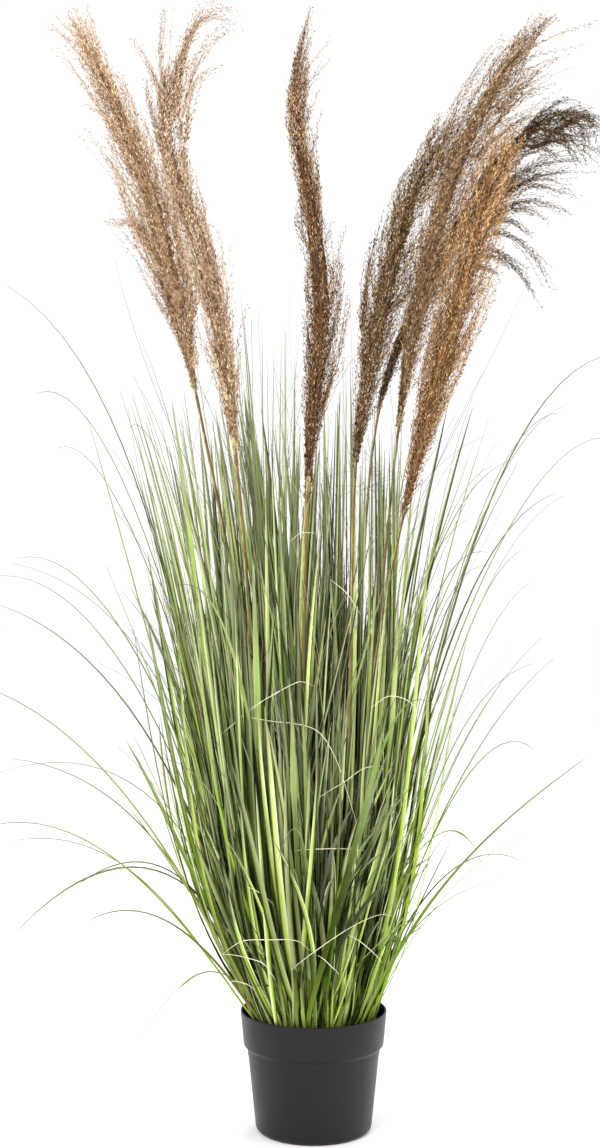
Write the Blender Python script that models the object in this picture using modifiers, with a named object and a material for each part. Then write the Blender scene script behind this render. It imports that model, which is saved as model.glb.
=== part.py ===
"""Potted ornamental grass clump: pot, fill, blade bunches, long leaves, stalks and plumes.

Metres, +Z up. The origin is the middle of the pot's flat underside. +X is the clump's right side
seen from the front, and -Y is its front.
"""
import math

import bmesh
import bpy
from mathutils import Vector

OBJECT_NAME = "potted_ornamental_grass_clump"

# Pot: a tapered shell with a deeper collar round its mouth
POT_HEIGHT = 0.155
RIM_RADIUS = 0.0955
COLLAR_HEIGHT = 0.044
COLLAR_FOOT_RADIUS = 0.0915
COLLAR_STEP_DROP = 0.004
BODY_TOP_RADIUS = 0.0865
BASE_RADIUS = 0.0755
BASE_CHAMFER = 0.003
WALL = 0.002
TURN_STEPS = 48

# Fill: a plug that stops below the rim and keeps clear of the wall
FILL_DROP = 0.018
CLEARANCE = 0.0003
FILL_TOP = POT_HEIGHT - FILL_DROP
ROOT_HEIGHT = FILL_TOP + CLEARANCE
FOOT_REACH = 0.006  # points this near the fill belong to a piece's foot

# The clump widens as it rises: quickly just above the pot, then slowly
SPREAD_GAIN = 1.0
SPREAD_RISE = 0.13
SPREAD_SLOPE = 0.45

# Blade bunches, ring by ring: how many, their root radius, first azimuth and top heights
BUNCH_RINGS = {
    "outer": {"count": 10, "radius": 0.053, "start": -12, "tops": (0.58, 0.62, 0.55)},
    "middle": {"count": 5, "radius": 0.028, "start": 22, "tops": (0.74, 0.69)},
    "inner": {"count": 3, "radius": 0.011, "start": 60, "tops": (0.78, 0.75, 0.77)},
}
BUNCH_HALF_WIDTH = 0.0075
BUNCH_HALF_DEPTH = 0.0032
BUNCH_TIP = 0.25
BUNCH_STATIONS = 10
BUNCH_SIDES = 6

# Long leaves: azimuth at the root, turn towards the tip, root radius, then the curve's two
# handles and its tip as (distance from the axis, height)
LEAF_HALF_WIDTH = 0.0034
LEAF_HALF_DEPTH = 0.0007
LEAF_TAPER = 0.75
LEAF_TAPER_POWER = 1.6
LEAF_STATIONS = 13
LEAF_SIDES = 4
LEAVES = {
    "leaf_left_1": (171, 6, 0.078, (0.15, 0.45), (0.20, 0.98), (0.405, 1.105)),
    "leaf_left_2": (180, -6, 0.078, (0.13, 0.55), (0.26, 1.00), (0.370, 0.965)),
    "leaf_left_3": (162, 6, 0.078, (0.13, 0.42), (0.29, 0.78), (0.410, 0.745)),
    "leaf_left_4": (189, 4, 0.078, (0.12, 0.34), (0.22, 0.62), (0.405, 0.685)),
    "leaf_left_5": (198, -8, 0.078, (0.15, 0.30), (0.26, 0.52), (0.420, 0.580)),
    "leaf_left_6": (153, 12, 0.077, (0.17, 0.27), (0.26, 0.45), (0.430, 0.470)),
    "leaf_left_7": (207, -14, 0.077, (0.17, 0.26), (0.29, 0.46), (0.430, 0.405)),
    "leaf_left_8": (144, 20, 0.076, (0.17, 0.32), (0.31, 0.39), (0.440, 0.215)),
    "leaf_left_9": (216, -14, 0.076, (0.15, 0.24), (0.23, 0.35), (0.310, 0.290)),
    "leaf_right_1": (9, -4, 0.078, (0.13, 0.50), (0.23, 0.97), (0.390, 1.015)),
    "leaf_right_2": (-20, 10, 0.078, (0.13, 0.52), (0.22, 0.93), (0.320, 0.930)),
    "leaf_right_3": (0, 5, 0.078, (0.11, 0.52), (0.27, 0.91), (0.390, 0.905)),
    "leaf_right_4": (18, 0, 0.078, (0.13, 0.50), (0.22, 0.79), (0.350, 0.835)),
    "leaf_right_5": (-10, 4, 0.078, (0.13, 0.40), (0.19, 0.71), (0.270, 0.755)),
    "leaf_right_6": (28, -6, 0.078, (0.14, 0.30), (0.21, 0.52), (0.340, 0.635)),
    "leaf_right_7": (-30, 8, 0.077, (0.13, 0.32), (0.23, 0.57), (0.295, 0.505)),
    "leaf_right_8": (-41, 22, 0.075, (0.16, 0.29), (0.22, 0.39), (0.355, 0.495)),
    "leaf_right_9": (38, -10, 0.077, (0.13, 0.34), (0.26, 0.46), (0.280, 0.280)),
    "leaf_front_1": (-66, 6, 0.077, (0.12, 0.36), (0.19, 0.62), (0.280, 0.570)),
    "leaf_front_2": (-92, -8, 0.077, (0.11, 0.30), (0.19, 0.50), (0.250, 0.390)),
    "leaf_front_3": (-118, -6, 0.077, (0.12, 0.42), (0.19, 0.74), (0.290, 0.710)),
    "leaf_back_1": (62, 8, 0.077, (0.14, 0.40), (0.24, 0.66), (0.370, 0.640)),
    "leaf_back_2": (84, 4, 0.077, (0.12, 0.50), (0.22, 0.88), (0.340, 0.860)),
    "leaf_back_3": (104, -6, 0.077, (0.15, 0.30), (0.26, 0.48), (0.380, 0.400)),
    "leaf_back_4": (124, 4, 0.077, (0.13, 0.44), (0.22, 0.80), (0.360, 0.800)),
}

# Stalks leave the spread of the clump at this height and run to their plumes
STALK_FREE_HEIGHT = 0.60
STALK_KNOT_HEIGHTS = (0.22, 0.32, 0.45, STALK_FREE_HEIGHT)
STALK_RADIUS = 0.0029
STALK_TAPER = 0.35
STALK_STATIONS = 12
STALK_BEVEL_RESOLUTION = 1
PLUME_SEAT = 0.001  # gap between a stalk's end and its plume
FOOT_LIFT = 0.0012  # a leaning stalk's square-cut foot stands this much higher

# Plumes: the stalk's azimuth and root radius, then the plume's foot, bends and tip,
# its greatest half width and where along the plume that lies
PLUME_SIDES = 8
PLUME_STATIONS = 13
PLUME_FLATNESS = 0.72
PLUME_FULLNESS = 0.8
PLUME_END_HALF_WIDTH = 0.0025
PLUMES = {
    "far_left": {
        "root": (171, 0.040),
        "path": [(-0.160, 0.025, 0.985), (-0.190, 0.03, 1.12), (-0.235, 0.035, 1.28), (-0.316, 0.04, 1.464)],
        "half_width": 0.033,
        "fullest": 0.40,
    },
    "left": {
        "root": (206, 0.040),
        "path": [(-0.103, -0.05, 0.900), (-0.133, -0.065, 1.10), (-0.182, -0.075, 1.285), (-0.158, -0.08, 1.420)],
        "half_width": 0.021,
        "fullest": 0.48,
    },
    "middle": {
        "root": (-100, 0.040),
        "path": [(-0.007, -0.070, 0.848), (0.006, -0.068, 1.07), (-0.020, -0.066, 1.30), (-0.004, -0.064, 1.43)],
        "half_width": 0.021,
        "fullest": 0.42,
    },
    "right_inner": {
        "root": (-58, 0.040),
        "path": [(0.054, -0.075, 0.880), (0.080, -0.08, 1.03), (0.109, -0.085, 1.155), (0.163, -0.09, 1.285)],
        "half_width": 0.027,
        "fullest": 0.55,
    },
    "right_tall": {
        "root": (19, 0.040),
        "path": [(0.116, 0.04, 0.940), (0.143, 0.05, 1.10), (0.204, 0.055, 1.29), (0.314, 0.06, 1.470)],
        "half_width": 0.028,
        "fullest": 0.58,
    },
    "right_front": {
        "root": (-30, 0.041),
        "path": [(0.112, -0.09, 0.815), (0.150, -0.105, 0.975), (0.187, -0.115, 1.12), (0.234, -0.12, 1.262)],
        "half_width": 0.032,
        "fullest": 0.52,
    },
    "right_back": {
        "root": (47, 0.041),
        "path": [(0.095, 0.11, 0.970), (0.185, 0.125, 1.165), (0.300, 0.135, 1.325), (0.392, 0.14, 1.350)],
        "half_width": 0.028,
        "fullest": 0.58,
    },
}

FINISHES = {
    "pot": {"colour": (0.048, 0.042, 0.043), "roughness": 0.45},
    "fill": {"colour": (0.030, 0.024, 0.018), "roughness": 0.90},
    "blade": {"colour": (0.150, 0.300, 0.060), "roughness": 0.50},
    "stalk": {"colour": (0.180, 0.170, 0.060), "roughness": 0.55},
    "plume": {"colour": (0.300, 0.190, 0.100), "roughness": 0.90},
}


def clear_scene():
    for item in list(bpy.data.objects):
        bpy.data.objects.remove(item, do_unlink=True)


def make_collection(name):
    collection = bpy.data.collections.new(name)
    bpy.context.scene.collection.children.link(collection)
    return collection


def make_material(name, finish):
    material = bpy.data.materials.new(name)
    material.use_nodes = True
    shader = material.node_tree.nodes["Principled BSDF"]
    shader.inputs["Base Color"].default_value = (*finish["colour"], 1.0)
    shader.inputs["Roughness"].default_value = finish["roughness"]
    shader.inputs["Metallic"].default_value = 0.0
    material.diffuse_color = (*finish["colour"], 1.0)
    return material


def add_object(name, data, finish_name, collection):
    item = bpy.data.objects.new(name, data)
    data.materials.append(make_material(name + "_finish", FINISHES[finish_name]))
    collection.objects.link(item)
    return item


def around(azimuth, radius, height):
    angle = math.radians(azimuth)
    return Vector((radius * math.cos(angle), radius * math.sin(angle), height))


def spread(height):
    """How many times further from the axis a stem is at this height than at its root."""
    rise = height - FILL_TOP
    return 1 + SPREAD_GAIN * (1 - math.exp(-rise / SPREAD_RISE)) + SPREAD_SLOPE * rise


def smooth_route(knots, first, last, stations):
    """Points at even steps along a smooth curve through the knots, from one knot to another."""
    times = [0.0]
    for before, after in zip(knots, knots[1:]):
        times.append(times[-1] + (after - before).length)
    slopes = []
    for i in range(len(knots)):
        low, high = max(i - 1, 0), min(i + 1, len(knots) - 1)
        slopes.append((knots[high] - knots[low]) / (times[high] - times[low]))
    route = []
    for step in range(stations):
        time = times[first] + (times[last] - times[first]) * step / (stations - 1)
        i = max(k for k in range(first, last) if times[k] <= time)
        span = times[i + 1] - times[i]
        u = (time - times[i]) / span
        route.append(
            knots[i] * (2 * u**3 - 3 * u**2 + 1)
            + slopes[i] * span * (u**3 - 2 * u**2 + u)
            + knots[i + 1] * (3 * u**2 - 2 * u**3)
            + slopes[i + 1] * span * (u**3 - u**2)
        )
    return route


def loft(route, half_widths, half_depths, sides, across):
    """A closed mesh round a route: flattened rings, wide along the across direction."""
    shape = bmesh.new()
    rings = []
    last = len(route) - 1
    for i, point in enumerate(route):
        along = (route[min(i + 1, last)] - route[max(i - 1, 0)]).normalized()
        facing = along.cross(across).normalized()
        sideways = facing.cross(along)
        ring = []
        for k in range(sides):
            turn = math.tau * k / sides
            offset = sideways * half_widths[i] * math.cos(turn) + facing * half_depths[i] * math.sin(turn)
            ring.append(shape.verts.new(point + offset))
        rings.append(ring)
    for lower, upper in zip(rings, rings[1:]):
        for k in range(sides):
            nxt = (k + 1) % sides
            shape.faces.new((lower[k], lower[nxt], upper[nxt], upper[k]))
    shape.faces.new(list(reversed(rings[0])))
    shape.faces.new(rings[-1])
    bmesh.ops.recalc_face_normals(shape, faces=shape.faces)
    return shape


def rest_on_fill(shape):
    """Lays the foot ring flat on the plane just above the fill."""
    for point in shape.verts:
        if point.co.z < ROOT_HEIGHT + FOOT_REACH:
            point.co.z = ROOT_HEIGHT


def mesh_from(shape, name):
    mesh = bpy.data.meshes.new(name)
    shape.to_mesh(mesh)
    shape.free()
    mesh.shade_smooth()
    mesh.set_sharp_from_angle(angle=math.radians(40))
    return mesh


def profile_object(name, outline, finish_name, collection):
    """A half outline in the XZ plane, turned round Z."""
    shape = bmesh.new()
    points = [shape.verts.new((radius, 0.0, height)) for radius, height in outline]
    for before, after in zip(points, points[1:]):
        shape.edges.new((before, after))
    item = add_object(name, mesh_from(shape, name), finish_name, collection)
    turn = item.modifiers.new("turn", "SCREW")
    turn.angle = math.tau
    turn.steps = TURN_STEPS
    turn.render_steps = TURN_STEPS
    turn.use_merge_vertices = True
    turn.merge_threshold = 0.00001
    turn.use_smooth_shade = True
    return item


def wall_outline(inset):
    """The pot's outer half outline, top to bottom, moved inwards by the inset."""
    collar_foot = POT_HEIGHT - COLLAR_HEIGHT
    return [
        (RIM_RADIUS - inset, POT_HEIGHT),
        (COLLAR_FOOT_RADIUS - inset, collar_foot + inset),
        (BODY_TOP_RADIUS - inset, collar_foot - COLLAR_STEP_DROP + inset),
        (BASE_RADIUS - inset, BASE_CHAMFER + inset),
        (BASE_RADIUS - BASE_CHAMFER - inset, inset),
        (0.0, inset),
    ]


def make_pot(collection):
    pot = profile_object("pot", wall_outline(0.0), "pot", collection)
    shell = pot.modifiers.new("shell", "SOLIDIFY")
    shell.thickness = WALL
    shell.offset = -1
    shell.use_even_offset = True


def make_fill(collection):
    inner = wall_outline(WALL + CLEARANCE)
    top_share = (FILL_TOP - inner[1][1]) / (inner[0][1] - inner[1][1])
    edge = inner[1][0] + (inner[0][0] - inner[1][0]) * top_share
    outline = [(0.0, FILL_TOP), (edge, FILL_TOP)] + inner[1:]
    profile_object("potting_fill", outline, "fill", collection)


def make_bunch(name, azimuth, radius, top, collection):
    route, half_widths, half_depths = [], [], []
    for i in range(BUNCH_STATIONS):
        share = i / (BUNCH_STATIONS - 1)
        height = ROOT_HEIGHT + (top - ROOT_HEIGHT) * share
        thinning = 1 - (1 - BUNCH_TIP) * share**2
        route.append(around(azimuth, radius * spread(height), height))
        half_widths.append(BUNCH_HALF_WIDTH * thinning)
        half_depths.append(BUNCH_HALF_DEPTH * thinning)
    across = around(azimuth + 90, 1.0, 0.0)
    shape = loft(route, half_widths, half_depths, BUNCH_SIDES, across)
    rest_on_fill(shape)
    add_object(name, mesh_from(shape, name), "blade", collection)


def make_bunches(collection):
    for ring_name, ring in BUNCH_RINGS.items():
        for i in range(ring["count"]):
            azimuth = ring["start"] + 360 * i / ring["count"]
            top = ring["tops"][i % len(ring["tops"])]
            name = f"blade_bunch_{ring_name}_{i + 1}"
            make_bunch(name, azimuth, ring["radius"], top, collection)


def leaf_route(azimuth, turn, root_radius, rise, arch, tip, stations):
    """A leaf's midline: one cubic curve up out of the fill, over and down."""
    route = []
    for i in range(stations):
        u = i / (stations - 1)
        weights = ((1 - u) ** 3, 3 * u * (1 - u) ** 2, 3 * u**2 * (1 - u), u**3)
        handles = ((root_radius, ROOT_HEIGHT), rise, arch, tip)
        radius = sum(w * handle[0] for w, handle in zip(weights, handles))
        height = sum(w * handle[1] for w, handle in zip(weights, handles))
        route.append(around(azimuth + turn * u * u, radius, height))
    return route


def make_leaf(name, form, collection):
    azimuth, turn, root_radius, rise, arch, tip = form
    route = leaf_route(azimuth, turn, root_radius, rise, arch, tip, LEAF_STATIONS)
    last = LEAF_STATIONS - 1
    slimming = [1 - LEAF_TAPER * (i / last) ** LEAF_TAPER_POWER for i in range(LEAF_STATIONS)]
    half_widths = [LEAF_HALF_WIDTH * s for s in slimming]
    half_depths = [LEAF_HALF_DEPTH * s for s in slimming]
    shape = loft(route, half_widths, half_depths, LEAF_SIDES, around(azimuth + 90, 1.0, 0.0))
    rest_on_fill(shape)
    add_object(name, mesh_from(shape, name), "blade", collection)


def stem_knots(form):
    azimuth, root_radius = form["root"]
    knots = [around(azimuth, root_radius, ROOT_HEIGHT)]
    for height in STALK_KNOT_HEIGHTS:
        knots.append(around(azimuth, root_radius * spread(height), height))
    return knots


def make_stalk(name, route, collection):
    """A round cane from the fill to just under its plume."""
    route[0].z += FOOT_LIFT
    route[-1] -= (route[-1] - route[-2]).normalized() * PLUME_SEAT
    curve = bpy.data.curves.new(name, "CURVE")
    curve.dimensions = "3D"
    curve.bevel_depth = STALK_RADIUS
    curve.bevel_resolution = STALK_BEVEL_RESOLUTION
    curve.use_fill_caps = True
    line = curve.splines.new("POLY")
    line.points.add(len(route) - 1)
    for i, point in enumerate(route):
        line.points[i].co = (*point, 1.0)
        line.points[i].radius = 1 - STALK_TAPER * i / (len(route) - 1)
    add_object(name, curve, "stalk", collection)


def make_plume(name, route, form, collection):
    peak = math.log(0.5) / math.log(form["fullest"])
    half_widths = []
    for i in range(PLUME_STATIONS):
        share = i / (PLUME_STATIONS - 1)
        swell = math.sin(math.pi * share**peak) ** PLUME_FULLNESS if 0 < share < 1 else 0.0
        half_widths.append(max(form["half_width"] * swell, PLUME_END_HALF_WIDTH))
    half_depths = [width * PLUME_FLATNESS for width in half_widths]
    shape = loft(route, half_widths, half_depths, PLUME_SIDES, Vector((1, 0, 0)))
    add_object(name, mesh_from(shape, name), "plume", collection)


def make_stems(collection):
    for name, form in PLUMES.items():
        knots = stem_knots(form)
        neck = len(knots)
        knots += [Vector(point) for point in form["path"]]
        make_stalk("stalk_" + name, smooth_route(knots, 0, neck, STALK_STATIONS), collection)
        plume = smooth_route(knots, neck, len(knots) - 1, PLUME_STATIONS)
        make_plume("plume_" + name, plume, form, collection)


def main():
    clear_scene()
    collection = make_collection(OBJECT_NAME)
    make_pot(collection)
    make_fill(collection)
    make_bunches(collection)
    for name, form in LEAVES.items():
        make_leaf(name, form, collection)
    make_stems(collection)


main()
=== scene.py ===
import math

import bpy
import numpy as np
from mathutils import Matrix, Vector


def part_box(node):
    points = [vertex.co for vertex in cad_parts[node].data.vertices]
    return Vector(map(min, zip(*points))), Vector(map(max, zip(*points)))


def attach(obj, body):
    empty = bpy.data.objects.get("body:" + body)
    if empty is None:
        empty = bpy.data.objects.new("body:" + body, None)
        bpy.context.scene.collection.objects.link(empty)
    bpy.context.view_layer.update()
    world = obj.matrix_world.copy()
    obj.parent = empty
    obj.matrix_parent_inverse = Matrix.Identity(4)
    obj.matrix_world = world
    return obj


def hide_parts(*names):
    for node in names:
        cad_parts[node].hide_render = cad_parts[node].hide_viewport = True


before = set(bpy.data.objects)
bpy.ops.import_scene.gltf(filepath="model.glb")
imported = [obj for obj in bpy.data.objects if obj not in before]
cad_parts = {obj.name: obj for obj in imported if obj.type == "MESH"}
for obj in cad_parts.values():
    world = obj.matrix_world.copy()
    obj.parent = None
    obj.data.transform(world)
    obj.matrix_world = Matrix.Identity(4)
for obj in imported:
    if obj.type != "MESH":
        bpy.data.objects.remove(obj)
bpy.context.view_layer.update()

print("frame loaded with", len(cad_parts), "nodes")


def colour(red, green, blue):  # sRGB 0-255 to linear
    steps = [c / 255 for c in (red, green, blue)]
    return tuple(c / 12.92 if c < 0.0405 else ((c + 0.055) / 1.055) ** 2.4 for c in steps) + (1.0,)


class Wire:  # a shader socket that takes part in plain arithmetic
    def __init__(self, finish, socket):
        self.finish, self.socket = finish, socket

    def __add__(self, other):
        return self.finish.maths("ADD", self, other)

    __radd__ = __add__

    def __sub__(self, other):
        return self.finish.maths("SUBTRACT", self, other)

    def __rsub__(self, other):
        return self.finish.maths("SUBTRACT", other, self)

    def __mul__(self, other):
        return self.finish.maths("MULTIPLY", self, other)

    __rmul__ = __mul__


class Finish:  # one material and its nodes
    def __init__(self, name, fixed):
        self.material = bpy.data.materials.new(name)
        self.material.use_nodes = True
        self.tree = self.material.node_tree
        self.shader = self.tree.nodes["Principled BSDF"]
        for socket, value in fixed.items():
            self.shader.inputs[socket].default_value = value

    def node(self, kind, settings, inputs, out=0):
        made = self.tree.nodes.new(kind)
        for key, value in settings.items():
            if key == "stops":
                self.setStops(made.color_ramp.elements, value)
            else:
                setattr(made, key, value)
        for key, value in inputs.items():
            if isinstance(value, Wire):
                self.tree.links.new(value.socket, made.inputs[key])
            else:
                made.inputs[key].default_value = value
        return Wire(self, made.outputs[out])

    def setStops(self, elements, stops):
        while len(elements) < len(stops):
            elements.new(1.0)
        for element, (place, shade) in zip(elements, stops):
            element.position, element.color = place, shade

    def maths(self, operation, *values):
        return self.node("ShaderNodeMath", {"operation": operation}, dict(enumerate(values)))

    def clear(self, value):  # keeps a value between 0 and 1
        return self.node("ShaderNodeMath", {"operation": "ADD", "use_clamp": True}, {0: value, 1: 0.0})

    def blend(self, amount, low, high):  # the node keeps the amount between 0 and 1
        return self.node("ShaderNodeMix", {"data_type": "RGBA"}, {0: amount, 6: low, 7: high}, out=2)

    def cover(self, shade, form, *layers):  # layers: how much of each, and its shade's name in the form
        for amount, name in layers:
            shade = self.blend(amount, shade, form[name])
        return shade

    def ramp(self, value, form, stops):  # stops: a place, and its shade's name in the form
        stops = [(place, form[name]) for place, name in stops]
        return self.node("ShaderNodeValToRGB", {"stops": stops}, {0: value})

    def painted(self, *names):
        return [self.node("ShaderNodeAttribute", {"attribute_name": name}, {}, out="Fac") for name in names]

    def places(self):
        return self.node("ShaderNodeTexCoord", {}, {}, out="Object")

    def point(self, x, y, z):
        return self.node("ShaderNodeCombineXYZ", {}, {0: x, 1: y, 2: z})

    def noise(self, where, scale, detail=2.0):
        inputs = {"Vector": where, "Scale": scale, "Detail": detail}
        return self.node("ShaderNodeTexNoise", {}, inputs, out="Fac")

    def drawnOut(self, scale):  # noise with a scale of its own on each axis
        where = self.node("ShaderNodeMapping", {}, {"Vector": self.places(), "Scale": scale})
        return self.noise(where, 1.0, 3)

    def bump(self, height, strength, distance):
        inputs = {"Height": height, "Strength": strength, "Distance": distance}
        return self.node("ShaderNodeBump", {}, inputs, out="Normal")

    def feed(self, **links):
        for socket, wire in links.items():
            self.tree.links.new(wire.socket, self.shader.inputs[socket.replace("_", " ")])
        return self.material


viewForm = {
    "camera": (-0.0178, -2.2, 0.724),
    "lens": 52.7,
    "sensor": 36.0,
    "floor": (0.97, 0.97, 0.97),
    "floorSize": 40.0,
    "floorDrop": 0.0005,
    "floorRoughness": 0.9,
    "sky": (1.0, 1.0, 1.0),
    "skyStrength": 1.05,
    "lamps": {  # place, target, size, watts
        "keyLamp": ((-1.4, -2.6, 2.4), (0, 0, 0.7), 1.2, 60),
        "sideLamp": ((2.4, -1.2, 1.4), (0, 0, 0.7), 1.0, 22),
        "backLamp": ((0.8, 2.2, 2.4), (0, 0, 0.8), 1.4, 30),
    },
}


def hang(name, data, place, turn):  # puts a camera or a lamp in the scene
    made = bpy.data.objects.new(name, data)
    made.location, made.rotation_euler = place, turn
    bpy.context.scene.collection.objects.link(made)
    return made


def setView(form):
    scene = bpy.context.scene
    cameraData = bpy.data.cameras.new("viewCamera")
    cameraData.lens, cameraData.sensor_width = form["lens"], form["sensor"]
    scene.camera = hang("viewCamera", cameraData, form["camera"], (math.radians(90), 0, 0))

    scene.world = bpy.data.worlds.new("studio")
    scene.world.use_nodes = True
    background = scene.world.node_tree.nodes["Background"].inputs
    background["Color"].default_value = (*form["sky"], 1)
    background["Strength"].default_value = form["skyStrength"]
    scene.view_settings.view_transform = "Standard"

    for name, (place, target, size, watts) in form["lamps"].items():
        lampData = bpy.data.lights.new(name, "AREA")
        lampData.size, lampData.energy = size, watts
        turn = (Vector(target) - Vector(place)).to_track_quat("-Z", "Y").to_euler()
        hang(name, lampData, place, turn)

    bpy.ops.mesh.primitive_plane_add(size=form["floorSize"], location=(0, 0, -form["floorDrop"]))
    floor = bpy.context.object
    floor.name = "studioFloor"
    fixed = {"Base Color": (*form["floor"], 1), "Roughness": form["floorRoughness"]}
    floor.data.materials.append(Finish("studioFloor", fixed).material)


setView(viewForm)
print("view set")

# Shapes shared by every piece

clumpForm = {
    "fillTop": 0.137,
    "rootHeight": 0.1373,
    "rise": 0.13,  # height in which it does most of its widening
    "slope": 0.45,  # how fast it goes on widening above
    "left": 0.17,  # it opens wider, and stands taller, to the left
    "right": 0.31,
    "taller": 0.06,
    "depth": 0.29,
    "mouth": 0.079,  # radius that every root stays inside
    "lowestTip": 0.24,
}
creaseAngle = math.radians(30)
mapEdges = (0.002, 0.998)  # the flat maps keep this clear of their borders
front = np.array([0.0, -1.0, 0.0])


def spread(height):  # how much wider the clump is at a height than at its roots
    up = np.maximum(height - clumpForm["fillTop"], 0)
    return 2 - np.exp(-up / clumpForm["rise"]) + clumpForm["slope"] * up


def around(azimuth, radius, height):
    angle = np.radians(azimuth)
    return np.stack(np.broadcast_arrays(radius * np.cos(angle), radius * np.sin(angle), height), axis=-1)


def unit(vectors):
    return vectors / np.maximum(np.linalg.norm(vectors, axis=-1, keepdims=True), 1e-9)


def fade(value, end, width):  # 1 well below the end, and 0 from there on
    return np.clip((end - value) / width, 0, 1)


def smoothLine(knots, steps, first=0, last=-1):  # a smooth curve from one of the knots to another
    knots = np.array(knots, float)
    final = len(knots) - 1
    last = last % len(knots)
    times = np.concatenate([[0], np.cumsum(np.linalg.norm(np.diff(knots, axis=0), axis=1))])
    low, high = np.maximum(np.arange(-1, final), 0), np.minimum(np.arange(1, final + 2), final)
    slopes = (knots[high] - knots[low]) / (times[high] - times[low])[:, None]
    time = times[first] + (times[last] - times[first]) * np.asarray(steps)
    i = np.clip(np.searchsorted(times, time, side="right") - 1, first, last - 1)
    span = (times[i + 1] - times[i])[:, None]
    u = (time - times[i])[:, None] / span
    start = knots[i] * (2 * u**3 - 3 * u**2 + 1) + slopes[i] * span * (u**3 - 2 * u**2 + u)
    end = knots[i + 1] * (3 * u**2 - 2 * u**3) + slopes[i + 1] * span * (u**3 - u**2)
    return start + end


def sidesOf(lines, facing):  # the two directions across each line
    along = unit(np.gradient(lines, axis=1))
    across = unit(np.cross(along, facing))
    return across, np.cross(across, along)


def stripPoints(lines, facing, halfWidths, section):  # section: sideways, outwards, thickness
    across, outward = sidesOf(lines, facing)
    rings = []
    for sideways, lift, thickness in section:
        wide = (halfWidths * sideways)[..., None] * across
        deep = (halfWidths * lift + thickness)[..., None] * outward
        rings.append(lines + wide + deep)
    return np.stack(rings, axis=2)


def stripFaces(count, stations, sides):  # closed tubes of quads with an end face each
    ring = np.arange(sides)
    step = np.arange(stations - 1)[:, None] * sides
    quad = np.stack([ring + step, np.roll(ring, -1) + step], axis=-1)
    quad = np.concatenate([quad, quad[..., ::-1] + sides], axis=-1).reshape(-1, 4)
    first = (np.arange(count) * stations * sides)[:, None, None]
    walls = (quad[None] + first).reshape(-1, 4)
    ends = np.stack([ring[::-1], ring + (stations - 1) * sides])
    return [walls, (ends[None] + first).reshape(-1, sides)]


def asPart(points, faces, painted):  # painted values spread over the points
    shape = points.shape[:-1]
    painted = {name: np.broadcast_to(values, shape).reshape(-1) for name, values in painted.items()}
    return {"points": points.reshape(-1, 3), "faces": faces, "painted": painted}


def joinParts(parts):  # parts: points, face groups and painted values, one after another
    points, groups, painted, first = [], {}, {}, 0
    for part in parts:
        for faces in part["faces"]:
            groups.setdefault(faces.shape[1], []).append(faces + first)
        for name, values in part["painted"].items():
            painted.setdefault(name, []).append(np.broadcast_to(values, len(part["points"])))
        points.append(part["points"])
        first += len(part["points"])
    return {
        "points": np.concatenate(points),
        "faces": [np.concatenate(faces) for faces in groups.values()],
        "painted": {name: np.concatenate(values) for name, values in painted.items()},
    }


def makePiece(name, part, material, nodes):
    mesh = bpy.data.meshes.new(name)
    loops = np.concatenate([faces.ravel() for faces in part["faces"]])
    totals = np.concatenate([np.full(len(faces), faces.shape[1]) for faces in part["faces"]])
    starts = np.concatenate([[0], np.cumsum(totals)[:-1]])
    mesh.vertices.add(len(part["points"]))
    mesh.vertices.foreach_set("co", part["points"].astype(np.float32).ravel())
    mesh.loops.add(len(loops))
    mesh.loops.foreach_set("vertex_index", loops.astype(np.int32))
    mesh.polygons.add(len(totals))
    mesh.polygons.foreach_set("loop_start", starts.astype(np.int32))
    mesh.update(calc_edges=True)
    for key, values in part["painted"].items():
        if key not in ("mapU", "mapV"):
            painted = mesh.attributes.new(key, "FLOAT", "POINT")
            painted.data.foreach_set("value", values.astype(np.float32))
    if "mapU" in part["painted"]:  # the flat map: across by tone, up by length
        flat = np.stack([part["painted"][key][loops] for key in ("mapU", "mapV")], axis=-1)
        mesh.uv_layers.new(name="OFBake").data.foreach_set("uv", flat.astype(np.float32).ravel())
    mesh.shade_smooth()
    mesh.set_sharp_from_angle(angle=creaseAngle)
    mesh.materials.append(material)
    piece = bpy.data.objects.new(name, mesh)
    bpy.context.scene.collection.objects.link(piece)
    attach(piece, "root")
    if nodes:
        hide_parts(*nodes)
    print(name, int((totals - 2).sum()), "triangles")


# Blades: thin folded strips

bladeForm = {
    "section": ((-1, 0.50, 0), (0, 0, 0.0002), (1, 0.50, 0), (0, 0, -0.0002)),  # edges and midrib
    "stations": 12,
    # darkest green: the blades' own darkest tone, and the colour of the painted shade
    "deep": colour(16, 28, 0),
    "green": colour(112, 144, 34),
    "fresh": colour(172, 206, 64),
    "pale": colour(222, 240, 128),
    "olive": colour(136, 138, 66),
    "brown": colour(112, 94, 56),
    "straw": colour(206, 190, 128),
    # painted highlight on the lit half of a blade
    "highlightCream": colour(240, 249, 184),
    "tip": colour(92, 80, 68),
    "foot": colour(168, 186, 96),
    "paleUpper": colour(206, 212, 186),
    "stops": ((0.0, "deep"), (0.20, "green"), (0.44, "fresh"), (0.60, "pale"), (0.72, "olive"),
              (0.88, "brown"), (1.0, "straw")),
    "shine": 0.10,
    "roughness": 0.40,
    "vein": 0.00025,
}


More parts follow.
